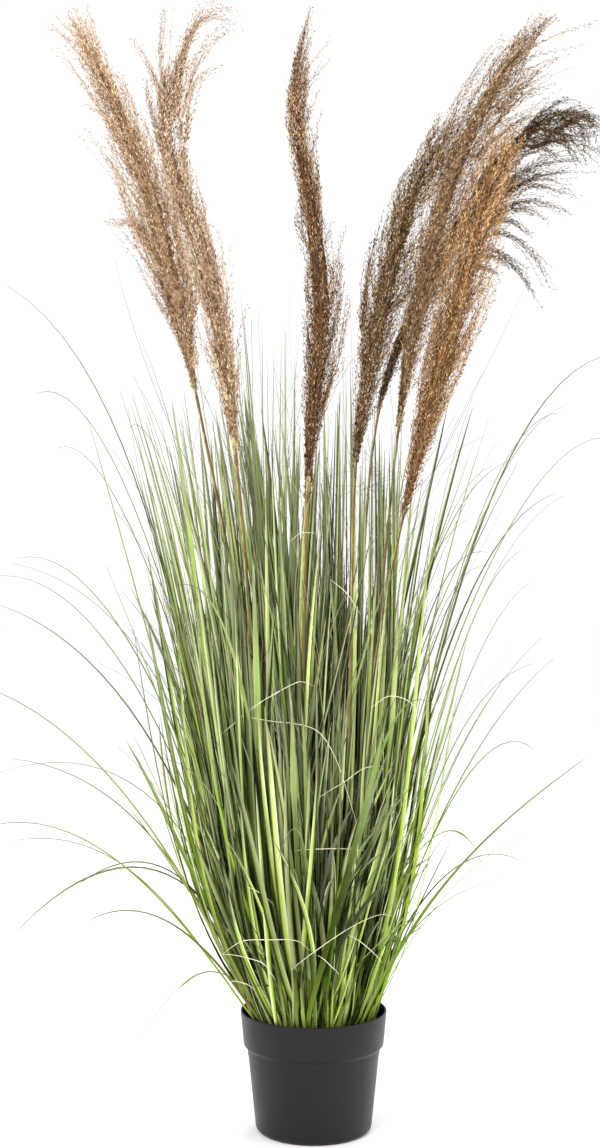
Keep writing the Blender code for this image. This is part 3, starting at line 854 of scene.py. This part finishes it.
plumeForms = {  # lengths in mm; a lock is a row of places across and up
    "far_left": {
        "root": (171, 40), "cane": (3.3, 0.62, 0.45), "widths": (28, 43, 33, 24, 13), "strands": 290,
        "reach": 0.3, "loose": 0.16, "fringe": (-40, -10, -5), "curl": (0, 0, 0), "shift": (-0.26, 0.14),
        "lockDepth": 20,
        "path": ((-160, 25, 985), (-190, 30, 1120), (-235, 35, 1280), (-316, 40, 1464)),
        "locks": (
            ((-270, 1350), (-296, 1410), (-326, 1471)), ((-258, 1350), (-286, 1420), (-298, 1480)),
            ((-200, 1170), (-250, 1240), (-302, 1308)), ((-195, 1140), (-240, 1185), (-276, 1182)),
            ((-225, 1250), (-282, 1340), (-337, 1420)), ((-163, 1060), (-166, 1120), (-186, 1190)),
            ((-166, 1080), (-174, 1150), (-204, 1235)), ((-172, 1110), (-186, 1190), (-222, 1275)),
            ((-164, 1050), (-156, 1095), (-160, 1150)), ((-205, 1140), (-240, 1200), (-266, 1270)),
            ((-190, 1100), (-222, 1165), (-246, 1235)), ((-158, 995), (-164, 1035), (-172, 1085)),
        ),
        "shades": ((96, 66, 38), (196, 160, 122), (250, 224, 190), (160, 136, 112)),
    },
    "left": {
        "root": (206, 40), "cane": (4.2, 0.42, 1.0), "widths": (21, 24, 24, 20, 12), "strands": 254,
        "reach": 0.3, "loose": 0.08, "fringe": (20, 0, 0), "curl": (30, 0, -10), "shift": (0.0, 0.0),
        "lockDepth": -80,
        "path": ((-103, -50, 900), (-133, -65, 1100), (-188, -75, 1275), (-180, -80, 1375)),
        "locks": (
            ((-178, 1290), (-163, 1385), (-130, 1432), (-100, 1436), (-89, 1404)),
            ((-172, 1280), (-152, 1360), (-122, 1408), (-95, 1420)),
            ((-180, 1310), (-160, 1400), (-138, 1444), (-108, 1452)),
            ((-182, 1290), (-192, 1370), (-184, 1443)), ((-182, 1260), (-200, 1345), (-232, 1402)),
            ((-184, 1240), (-206, 1310), (-214, 1352)),
            ((-174, 1300), (-170, 1360), (-158, 1402), (-136, 1420)),
            ((-162, 1270), (-150, 1345), (-118, 1370)),
            ((-174, 1310), (-166, 1375), (-144, 1418), (-112, 1424), (-94, 1398)),
            ((-106, 935), (-126, 995), (-144, 1055)), ((-100, 950), (-106, 1010), (-114, 1070)),
        ),
        "shades": ((96, 68, 40), (188, 154, 120), (250, 226, 196), (160, 144, 130)),
    },
    "middle": {
        "root": (-100, 40), "cane": (4.6, 0.25, 0.8), "widths": (18, 25, 20, 14, 5), "strands": 262,
        "reach": 0.26, "loose": 0.06, "fringe": (30, 0, 0), "curl": (10, 0, 0), "shift": (-0.2, 0.14),
        "lockDepth": -68,
        "path": ((-7, -70, 848), (9, -68, 1070), (-6, -67, 1200), (-23, -66, 1320), (-12, -64, 1430)),
        "locks": (
            ((8, 930), (32, 1010), (45, 1090)), ((10, 980), (30, 1060), (33, 1130)),
        ),
        "shades": ((48, 24, 8), (118, 80, 48), (218, 182, 142), (136, 116, 98)),
    },
    "right_inner": {
        "root": (-58, 40), "cane": (3.1, 0.7, 0.0), "widths": (14, 29, 30, 30, 18), "strands": 278,
        "reach": 0.32, "loose": 0.08, "fringe": (15, 0, -30), "curl": (20, 0, 0), "shift": (-0.04, 0.0),
        "lockDepth": -80,
        "path": ((54, -75, 880), (80, -80, 1030), (109, -85, 1155), (163, -90, 1285)),
        "locks": (
            ((88, 1050), (118, 1080), (140, 1140)), ((60, 1030), (68, 1110), (90, 1190)),
        ),
        "shades": ((36, 18, 4), (114, 84, 52), (214, 184, 146), (118, 98, 78)),
    },
    "right_tall": {
        "root": (19, 40), "cane": (2.8, 0.45, 0.7), "widths": (18, 34, 36, 28, 10), "strands": 265,
        "reach": 0.34, "loose": 0.22, "fringe": (70, 0, -20), "curl": (20, 0, -10), "shift": (0.0, -0.1),
        "lockDepth": 50,
        "path": ((116, 40, 940), (143, 50, 1100), (199, 55, 1290), (298, 60, 1470)),
        "locks": (
            ((165, 1270), (190, 1350), (235, 1420), (275, 1455)),
            ((178, 1270), (208, 1350), (252, 1420), (288, 1460)),
            ((186, 1260), (222, 1340), (262, 1400), (302, 1448)), ((230, 1310), (272, 1355), (320, 1385)),
            ((245, 1340), (285, 1385), (326, 1412)), ((215, 1280), (262, 1325), (312, 1345)),
        ),
        "shades": ((66, 40, 18), (156, 120, 82), (234, 204, 166), (128, 110, 90)),
    },
    "right_front": {
        "root": (-30, 41), "cane": (2.6, 0.8, 0.2), "widths": (19, 29, 33, 34, 18), "strands": 284,
        "reach": 0.34, "loose": 0.06, "fringe": (30, 0, 10), "curl": (10, 0, 0), "shift": (-0.2, 0.18),
        "lockDepth": -110,
        "path": ((116, -90, 815), (157, -105, 975), (193, -115, 1120), (234, -120, 1262)),
        "locks": (
            ((165, 975), (196, 1030), (226, 1095)), ((190, 1050), (214, 1100), (236, 1160)),
            ((138, 900), (144, 980), (158, 1060)),
        ),
        "shades": ((66, 38, 16), (158, 114, 70), (232, 194, 144), (150, 126, 98)),
    },
    "right_back": {
        "root": (47, 41), "cane": (2.6, 0.6, 0.0), "widths": (10, 26, 36, 36, 24), "strands": 258,
        "reach": 0.3, "loose": 0.2, "fringe": (40, 0, -50), "curl": (0, 0, -35), "shift": (-0.08, -0.1),
        "lockDepth": 130,
        "path": ((95, 110, 970), (185, 125, 1168), (300, 135, 1338), (392, 140, 1362)),
        "locks": (
            ((240, 1240), (318, 1292), (379, 1300)), ((236, 1232), (300, 1272), (345, 1279)),
            ((228, 1220), (304, 1262), (370, 1248)), ((224, 1212), (296, 1244), (354, 1227)),
            ((220, 1204), (285, 1232), (332, 1212)), ((214, 1192), (270, 1214), (309, 1187)),
            ((208, 1180), (268, 1196), (312, 1160), (339, 1116)),
            ((202, 1166), (252, 1176), (290, 1144), (317, 1098)), ((196, 1154), (244, 1164), (290, 1143)),
            ((192, 1144), (232, 1152), (264, 1138)), ((232, 1226), (310, 1276), (392, 1282)),
            ((335, 1340), (382, 1362), (398, 1318)), ((325, 1330), (368, 1348), (384, 1296)),
            ((300, 1315), (345, 1325), (372, 1290)), ((230, 1250), (282, 1325), (320, 1365), (352, 1384)),
            ((260, 1290), (312, 1352), (350, 1378), (388, 1366)),
            ((210, 1220), (268, 1300), (318, 1345), (362, 1362)),
            ((222, 1225), (282, 1275), (340, 1305), (386, 1306)),
        ),
        "shades": ((32, 18, 6), (86, 62, 38), (176, 148, 112), (72, 54, 36)),
    },
}

plumeShape = {
    "stops": ((0.0, "dark"), (0.42, "mid"), (0.78, "light"), (0.86, "light"), (0.90, "hair"), (1.0, "hair")),
    "widthPlaces": (0.0, 0.2, 0.4, 0.6, 0.8, 1.0),  # shares of the length that the widths are given at
    "seatWidth": 0.005,
    "stations": 20,
    "threadRadius": 0.00028,
    "spikelets": 70,
    "spikelet": ((-0.45, 0, 0), (0.0, 0.5, 0.24), (0.0, -0.5, 0.24), (0.55, 0, 0)),  # forward, wide, deep
    "spikeletLength": (0.0034, 0.0070),
    "spikeletWidth": (0.18, 0.32),
    "scatter": 0.0034,
    "lockStrands": 7,
    "lockWidth": 0.0034,
    "hairs": 430,
    "hairRadius": 0.00013,
    "hairLength": (0.008, 0.026),
    "core": 0.37,  # share of the plume's width that is packed too close to see through; this core is painted mostly dark, as painted shade
    "coreLimit": 0.0105,
    "coreEnd": 0.86,
    "coreStations": 110,
    "coreSides": 14,
    "highest": 1.488,
    "farRight": 0.408,
    "seed": 71,
}


def stalkFinish(form):
    finish = Finish("reedStalk", {"Specular IOR Level": 0.4})
    along, sleeve, joint, tint, turn = finish.painted("along", "sleeve", "joint", "tint", "turn")
    streaks, patch = finish.drawnOut((700, 700, 12)), finish.noise(finish.places(), 16)
    shade = finish.cover(
        finish.ramp(tint + (along - 0.78) * 1.3 + (patch - 0.5), form, form["stops"]), form,
        ((streaks - 0.46) * 2.2, "brown"),
        # painted highlight on the sunlit side
        ((turn + streaks - 1.24) * 2.6, "highlightGold"),
        # painted shade in brown on the side away from the light
        ((streaks * 0.6 - turn + 0.2) * 1.6, "brown"),
        (joint * 0.6, "brown"),
        (sleeve * (0.6 + patch * 0.5), "sleeveShade"),
    )
    normal = finish.bump(streaks, 0.4, 0.0003)
    return finish.feed(Base_Color=shade, Roughness=0.42 + streaks * 0.2, Normal=normal)


def plumeFinish(name, form):
    finish = Finish(name, {"Roughness": 0.85, "Specular IOR Level": 0.2})
    tone, along = finish.painted("tone", "along")
    dark, mid, light, hair = (colour(*shade) for shade in form["shades"])
    shades = {"dark": dark, "mid": mid, "light": light, "hair": hair}
    shade = finish.ramp(tone, shades, plumeShape["stops"])
    mottle = finish.noise(finish.point(tone * 90, along * 420, 0.0), 1.0, 1.0)
    shade = finish.cover(shade, shades, ((mottle - 0.53) * 6, "dark"), ((0.42 - mottle) * 5, "light"))
    return finish.feed(Base_Color=shade)


def stemKnots(form):  # up the clump with the blades, then along the plume
    azimuth, radius = form["root"]
    radius = radius / 1000
    knots = [around(azimuth, radius, clumpForm["rootHeight"])]
    knots += [around(azimuth, radius * spread(height), height) for height in stalkForm["rise"]]
    return knots + list(np.array(form["path"]) / 1000)


def tubePart(lines, radii, sides, painted):  # painted: one value for each station, or for all
    angle = np.arange(sides) * math.tau / sides
    section = [(math.cos(a), math.sin(a), 0) for a in angle]
    points = stripPoints(lines, front, radii, section)
    painted = {key: np.asarray(values)[..., None] for key, values in painted.items()}
    return asPart(points, stripFaces(*lines.shape[:2], sides), painted)


def mapTube(part, sides, key, twist, scale, offset):
    painted = part["painted"]
    turns = np.tile((np.arange(sides) - (sides - 1) / 2) * twist, len(part["points"]) // sides)
    painted["mapU"] = np.clip(painted[key] + turns, *mapEdges)
    painted["mapV"] = np.clip(painted["along"] * scale + offset, *mapEdges)
    return part


def makeStalk(name, form, knots, neck, material):
    radius, tint, sleeved = form["cane"]
    sides = stalkForm["sides"]
    share = np.concatenate([np.linspace(0, 0.95, 56), np.linspace(0.955, 1, 12)])
    nearJoint = np.abs((share / stalkForm["jointGap"] + 0.3) % 1 - 0.5) < 0.05
    low = fade(share, 0.72, 0.1)  # leaf sheaths wrap the lower part
    sleeve = sleeved * np.clip((share - 1 + stalkForm["sleeve"]) / 0.024, 0, 1)
    radii = radius / 1000 * (0.82 + 0.18 * low) * (1 - stalkForm["thinning"] * share)
    radii = radii * (1 + 0.10 * nearJoint + 0.22 * sleeve)
    painted = {"along": share, "sleeve": sleeve, "joint": nearJoint * 1.0, "tint": tint}
    part = tubePart(smoothLine(knots, share, last=neck)[None], radii[None], sides, painted)
    # how far each side faces the painted light: high on the sunlit left, low on the side that gets painted
    # shade
    turn = 0.5 + 0.5 * np.cos(np.arange(sides) * math.tau / sides - stalkForm["sunlit"])
    part["painted"]["turn"] = np.tile(turn, len(share))
    makePiece(f"cane_{name}", part, material, [f"stalk_{name}"])


def swellAt(form, share):  # the plume's half width along its length
    widths = (plumeShape["seatWidth"], *np.array(form["widths"]) / 1000)
    return np.interp(share, plumeShape["widthPlaces"], widths)


def plumeRoute(knots, neck):  # a function from a share of the plume to a place on its midline
    steps = np.linspace(0, 1, 120)
    line = smoothLine(knots, steps, neck)
    length = np.linalg.norm(np.diff(line, axis=0), axis=1).sum()
    begin, end = unit(line[3] - line[0]), unit(line[-1] - line[-4])

    def placeAt(share):
        inside = np.clip(share, 0, 1)
        place = np.stack([np.interp(inside, steps, line[:, axis]) for axis in range(3)], axis=-1)
        return place + (share - inside)[..., None] * length * np.where(share[..., None] < 0, begin, end)

    return placeAt


def plumeStrands(rng, form, placeAt):
    count = form["strands"]
    start = rng.beta(1.0, 1.15, count) * 0.92
    start[: count // 12] = rng.uniform(-0.06, 0, count // 12)  # some hang on below the plume's foot
    reach = form["reach"] * rng.uniform(0.55, 1.15, count) * (1 - 0.5 * np.clip(start, 0, 1))
    reach = np.minimum(reach, 1.03 - start)
    s = np.linspace(0, 1, plumeShape["stations"])[None]
    share = start[:, None] + reach[:, None] * s
    centre = placeAt(share)
    across, outward = sidesOf(centre, front)
    depth = rng.random(count) ** 0.46
    turn = rng.uniform(0, math.tau, count)[:, None] + s * rng.normal(0, 0.4, count)[:, None]
    size = swellAt(form, share) * depth[:, None] * (1 - (1 - s) ** 3.2)
    sideways = size * np.cos(turn)
    wave = 0.0013 * np.sin(s * rng.uniform(4, 11, count)[:, None] + rng.uniform(0, 6, count)[:, None])
    lines = centre + across * (sideways + wave)[..., None] + outward * (size * 0.8 * np.sin(turn))[..., None]
    isLoose = rng.random(count) < form["loose"]
    amount = np.where(isLoose, rng.uniform(0.25, 1.0, count), rng.uniform(0, 0.05, count))[:, None] * s**1.9
    fringe, curl = np.array(form["fringe"]) / 1000, np.array(form["curl"]) / 1000
    spray = fringe + rng.normal(0, 0.008, (count, 3))
    nearTip = np.clip((start - 0.45) / 0.4, 0, 1)[:, None] * s**2.2 * rng.uniform(0.1, 1.0, count)[:, None]
    return lines + amount[..., None] * spray[:, None] + nearTip[..., None] * curl, share, depth, isLoose


def lockStrands(rng, route, depth):  # strands that hang together in one loose lock
    count, stations = plumeShape["lockStrands"], plumeShape["stations"]
    s = np.linspace(0, 1, stations)
    ends = rng.uniform(0.72, 1.0, count)
    ends[0] = 1.0
    knots = np.array([(x, depth, z) for x, z in route]) / 1000
    lines = np.stack([smoothLine(knots, s * end) for end in ends])
    offset = rng.normal(0, 1, (count, 1, 3)) * plumeShape["lockWidth"]
    sway = 0.5 * np.sin(s[:, None] * 4 + rng.uniform(0, 6, (count, 1, 1)))
    share = np.broadcast_to(0.85 + 0.1 * s, (count, stations))
    return lines + offset * (0.5 + 0.7 * s[:, None] + sway), share, rng.random(count), np.ones(count, bool)


def keepInside(points):  # draws in what would stand out past the tallest and widest places
    for axis, limit in ((2, plumeShape["highest"]), (0, plumeShape["farRight"])):
        points[..., axis] -= np.maximum(points[..., axis] - limit, 0) * 0.85
    return points


def spikeletPart(rng, form, lines, share, depth, isLoose):
    count, stations = lines.shape[:2]
    each = (count, plumeShape["spikelets"])
    s = np.linspace(0.03, 1, each[1])[None] + rng.uniform(-0.012, 0.012, each)
    place = np.clip(s, 0, 1) * (stations - 1)
    low = np.minimum(place.astype(int), stations - 2)
    part = (place - low)[..., None]
    row = np.arange(count)[:, None]
    before, after = lines[row, low], lines[row, low + 1]
    along = unit(after - before)
    random = unit(rng.normal(size=before.shape))
    sideways = unit(np.cross(along, random))
    direction = unit(along + sideways * rng.uniform(0.1, 0.65, each)[..., None])
    length = rng.uniform(*plumeShape["spikeletLength"], each) * (1.12 - 0.5 * s)
    width = length * rng.uniform(*plumeShape["spikeletWidth"], each)
    away = sideways * rng.uniform(0.0002, plumeShape["scatter"], each)[..., None]
    centres = before * (1 - part) + after * part + away
    across = unit(np.cross(direction, random))
    outward = np.cross(across, direction)
    # strands nearer the plume's middle are darker and outer ones lighter: painted shade and painted light
    tone = 0.38 + rng.normal(0, 0.09, (count, 1)) + rng.normal(0, 0.29, each) + (depth[:, None] - 0.6) * 0.25
    lengthwise = share[:, :1] + (share[:, -1:] - share[:, :1]) * s
    tone = np.clip(tone + np.interp(lengthwise, (0, 1), form["shift"]), 0.02, 0.80)
    tone = np.where(isLoose[:, None] & (s > 0.90), rng.uniform(0.90, 0.98, each), tone)
    corners = [
        centres + direction * (length * forward)[..., None]
        + across * (width * wide)[..., None] + outward * (width * deep)[..., None]
        for forward, wide, deep in plumeShape["spikelet"]
    ]
    faces = np.array([(0, 1, 2), (3, 2, 1), (0, 3, 1), (0, 2, 3)])
    faces = faces[None] + (np.arange(tone.size) * 4)[:, None, None]
    tone, lengthwise = tone[..., None], lengthwise[..., None]
    up = lengthwise * 0.9 + 0.02 + (-0.003, 0, 0.0015, 0.003)
    painted = {"tone": tone, "along": lengthwise, "mapU": tone + (0, 0.004, -0.004, 0),
               "mapV": np.clip(up, *mapEdges)}
    return asPart(keepInside(np.stack(corners, axis=2)), [faces.reshape(-1, 3)], painted)


def plumeTube(lines, radii, share, tone, sides=3):  # threads, hairs and core, painted like the spikelets
    part = tubePart(lines, radii, sides, {"tone": tone, "along": share})
    keepInside(part["points"])
    return mapTube(part, sides, "tone", 0.004, 0.9, 0.02)


def corePart(rng, form, placeAt):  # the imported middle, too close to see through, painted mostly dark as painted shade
    share = np.linspace(0, plumeShape["coreEnd"], plumeShape["coreStations"])
    fading = np.sqrt(np.clip(1 - (share / plumeShape["coreEnd"]) ** 3, 0, 1))
    size = np.minimum(swellAt(form, share) * plumeShape["core"], plumeShape["coreLimit"])
    size = size * fading * rng.uniform(0.78, 1.1, len(share)) + 0.0009
    part = plumeTube(placeAt(share)[None], size[None], share, 0.0, plumeShape["coreSides"])
    part["points"] += rng.normal(0, 0.0013, part["points"].shape)
    # random speckle, mostly dark: painted shade in the plume's middle
    speckledShade = rng.beta(0.8, 1.9, len(part["points"])) * 0.66
    part["painted"].update(tone=speckledShade, mapU=np.clip(speckledShade, *mapEdges))
    return part


def hairPart(rng, lines, share):
    count = plumeShape["hairs"]
    pick = rng.integers(0, len(lines), count)
    place = rng.integers(4, lines.shape[1] - 1, count)
    root = lines[pick, place]
    way = unit(lines[pick, place + 1] - root + rng.normal(0, 0.0026, (count, 3)))
    size = rng.uniform(*plumeShape["hairLength"], count)[:, None, None]
    s = np.linspace(0, 1, 4)[None, :, None]
    hairs = root[:, None] + way[:, None] * size * s + rng.normal(0, 0.2, (count, 1, 3)) * size * s**2
    radii = plumeShape["hairRadius"] * np.linspace(1.4, 0.5, 4)[None]
    return plumeTube(hairs, radii, share[pick, place][:, None], 0.94)


def makePlume(name, form, knots, neck, seed):
    rng = np.random.default_rng(seed)
    placeAt = plumeRoute(knots, neck)
    groups = [plumeStrands(rng, form, placeAt)]
    groups += [lockStrands(rng, route, form["lockDepth"]) for route in form["locks"]]
    lines, share, depth, isLoose = (np.concatenate(values) for values in zip(*groups))
    parts = [spikeletPart(rng, form, lines, share, depth, isLoose)]
    threads, places = lines[:, ::3], share[:, ::3]
    radii = plumeShape["threadRadius"] * np.linspace(1.2, 0.5, places.shape[1])[None]
    # threads nearer the plume's middle are darker: painted shade
    parts += [plumeTube(threads, radii, places, 0.30 + 0.2 * depth[:, None])]
    parts += [corePart(rng, form, placeAt), hairPart(rng, lines, share)]
    material = plumeFinish(f"plumeFibre_{name}", form)
    makePiece(f"feather_{name}", joinParts(parts), material, [f"plume_{name}"])


stalkMaterial = stalkFinish(stalkForm)
for seed, (name, form) in enumerate(plumeForms.items(), plumeShape["seed"]):
    knots = stemKnots(form)
    neck = len(knots) - len(form["path"])
    makeStalk(name, form, knots, neck, stalkMaterial)
    makePlume(name, form, knots, neck, seed)
print("stalks and plumes made")

# Wisps: hair-thin dry strands among the blades, and pale curled threads in front

wispForm = {
    "count": 300,
    "reach": (0.10, 0.42),
    "radius": (0.00022, 0.00050),
    "limits": (0.41, 0.25),  # how far across and how far back the wisps reach
    "stations": 9,
    "sides": 3,
    "seed": 91,
    "shades": (colour(70, 62, 56), colour(104, 92, 96), colour(128, 120, 92), colour(206, 196, 150)),
    "tangles": (  # small knots of wiry strands: place and size, in mm
        (12, -60, 735, 30), (22, -50, 715, 28), (45, -50, 830, 30), (-85, -50, 860, 30), (85, -40, 840, 28),
        (-65, -90, 520, 30), (95, -80, 620, 30), (-120, -60, 630, 34), (15, 80, 740, 32),
        (-30, -110, 410, 26), (80, 70, 660, 32), (-90, 70, 600, 30),
    ),
    "tangleHairs": 16,
}


def wispFinish(form):
    finish = Finish("dryWisp", {"Roughness": 0.6, "Specular IOR Level": 0.3})
    pick, along = finish.painted("pick", "along")
    shade = finish.ramp(pick, form["shades"], ((0.0, 0), (0.35, 1), (0.68, 2), (0.9, 3)))
    dulled = finish.noise(finish.point(pick * 40, along * 9, 0.0), 1.0)
    return finish.feed(Base_Color=finish.cover(shade, form["shades"], ((dulled - 0.45) * 1.6, 0)))


def wispTubes(form, lines, radii, pick):
    along = np.linspace(0, 1, form["stations"])
    part = tubePart(lines, radii, form["sides"], {"along": along, "pick": pick[:, None]})
    return mapTube(part, form["sides"], "pick", 0.006, 0.94, 0.03)


def makeWisps(form):
    rng = np.random.default_rng(form["seed"])
    count, stations = form["count"], form["stations"]
    azimuth = rng.uniform(0, 360, count)
    height = rng.uniform(0.24, 0.82, count)
    rootRadius = rng.uniform(0.035, 0.078, count)
    start = around(azimuth, rootRadius * (1 + (spread(height) - 1) * sideLean(azimuth)), height)
    outward = around(azimuth + rng.normal(0, 50, count), rng.uniform(-0.25, 0.75, count), 1.0)
    way = unit(outward + rng.normal(0, 0.16, (count, 3)))
    reach = rng.uniform(*form["reach"], count)
    s = np.linspace(0, 1, stations)[None, :, None]
    bend = around(rng.uniform(0, 360, count), rng.uniform(0, 0.34, count), rng.uniform(-0.30, 0.02, count))
    lines = start[:, None] + (way[:, None] * s + bend[:, None] * s**2.2) * reach[:, None, None]
    lines[..., 2] = np.clip(lines[..., 2], 0.18, 1.2)
    for axis, limit in enumerate(form["limits"]):
        lines[..., axis] = limit * np.tanh(lines[..., axis] / limit)
    radii = rng.uniform(*form["radius"], count)[:, None] * np.linspace(1, 0.4, stations)[None]
    parts = [wispTubes(form, lines, radii, rng.beta(1.2, 1.8, count))]
    number = form["tangleHairs"]
    for tangle in np.array(form["tangles"]) / 1000:
        place, size = tangle[:3], tangle[3]
        begin = place + rng.normal(0, size * 0.35, (number, 3))
        heading = unit(rng.normal(0, 1, (number, 3)) + (0, 0, 0.7))
        hairs = heading[:, None] * s + rng.normal(0, 0.8, (number, 1, 3)) * s**2
        hairs = begin[:, None] + hairs * size * rng.uniform(0.5, 1.5, (number, 1, 1))
        thin = form["radius"][0] * np.linspace(1, 0.5, stations)[None]
        parts.append(wispTubes(form, hairs, thin, rng.uniform(0, 0.45, number)))
    makePiece("dry_wisps", joinParts(parts), wispFinish(form), [])


makeWisps(wispForm)

threadForm = {
    "radius": 0.00046,
    "stations": 30,
    "sides": 5,
    "pale": colour(244, 240, 210),
    "shaded": colour(206, 192, 138),
    "routes": (  # pale curled threads lying over the front of the clump, in mm
        ((-113, -100, 254), (-85, -120, 274), (-47, -130, 278), (-21, -130, 275), (-6, -120, 262)),
        ((-29, -120, 238), (-3, -130, 260), (29, -130, 284), (52, -130, 297), (80, -120, 305),
         (96, -110, 302)),
        ((36, -120, 283), (62, -120, 269), (84, -110, 244)),
        ((-106, -100, 218), (-89, -110, 221), (-74, -110, 211)),
        ((-83, -120, 556), (-53, -130, 575), (-19, -130, 592), (0, -130, 587)),
        ((-120, -110, 522), (-64, -120, 568), (-20, -120, 592)),
        ((-30, -80, 765), (-16, -90, 775), (2, -90, 775)),
        ((-95, -120, 551), (-60, -130, 545), (0, -135, 535), (24, -135, 503), (44, -130, 444),
         (52, -120, 416)),
        ((1, -130, 448), (36, -135, 471), (59, -130, 486), (83, -120, 488)),
        ((-43, -130, 382), (-11, -135, 388), (20, -135, 390), (62, -120, 384)),
        ((-83, -120, 340), (-64, -125, 332), (-49, -125, 317)),
        ((-115, -100, 253), (-67, -125, 250), (-48, -120, 226)),
        ((4, -130, 258), (20, -130, 246), (30, -120, 232)),
        ((20, -100, 717), (40, -110, 700), (57, -110, 674)),
        ((70, -120, 560), (92, -120, 574), (118, -110, 566), (131, -100, 541)),
    ),
}


def threadFinish(form):
    finish = Finish("paleThread", {"Roughness": 0.55, "Specular IOR Level": 0.35})
    along = finish.painted("along")[0]
    mottle = finish.noise(finish.places(), 120)
    shade = finish.blend((mottle - 0.4) * 2 + (along - 0.6) * 0.6, form["pale"], form["shaded"])
    return finish.feed(Base_Color=shade, Normal=finish.bump(mottle, 0.3, 0.0002))


def makeThreads(form):
    share = np.linspace(0, 1, form["stations"])
    lines = np.stack([smoothLine(np.array(route) / 1000, share) for route in form["routes"]])
    lines[..., 1] += 0.004 * np.sin(share * 9) - 0.018
    radii = form["radius"] * np.sin(math.pi * np.clip(share, 0.04, 0.96)) ** 0.4
    part = tubePart(lines, radii[None], form["sides"], {"along": share})
    makePiece("pale_threads", part, threadFinish(form), [])


makeThreads(threadForm)
print("wisps and threads made")
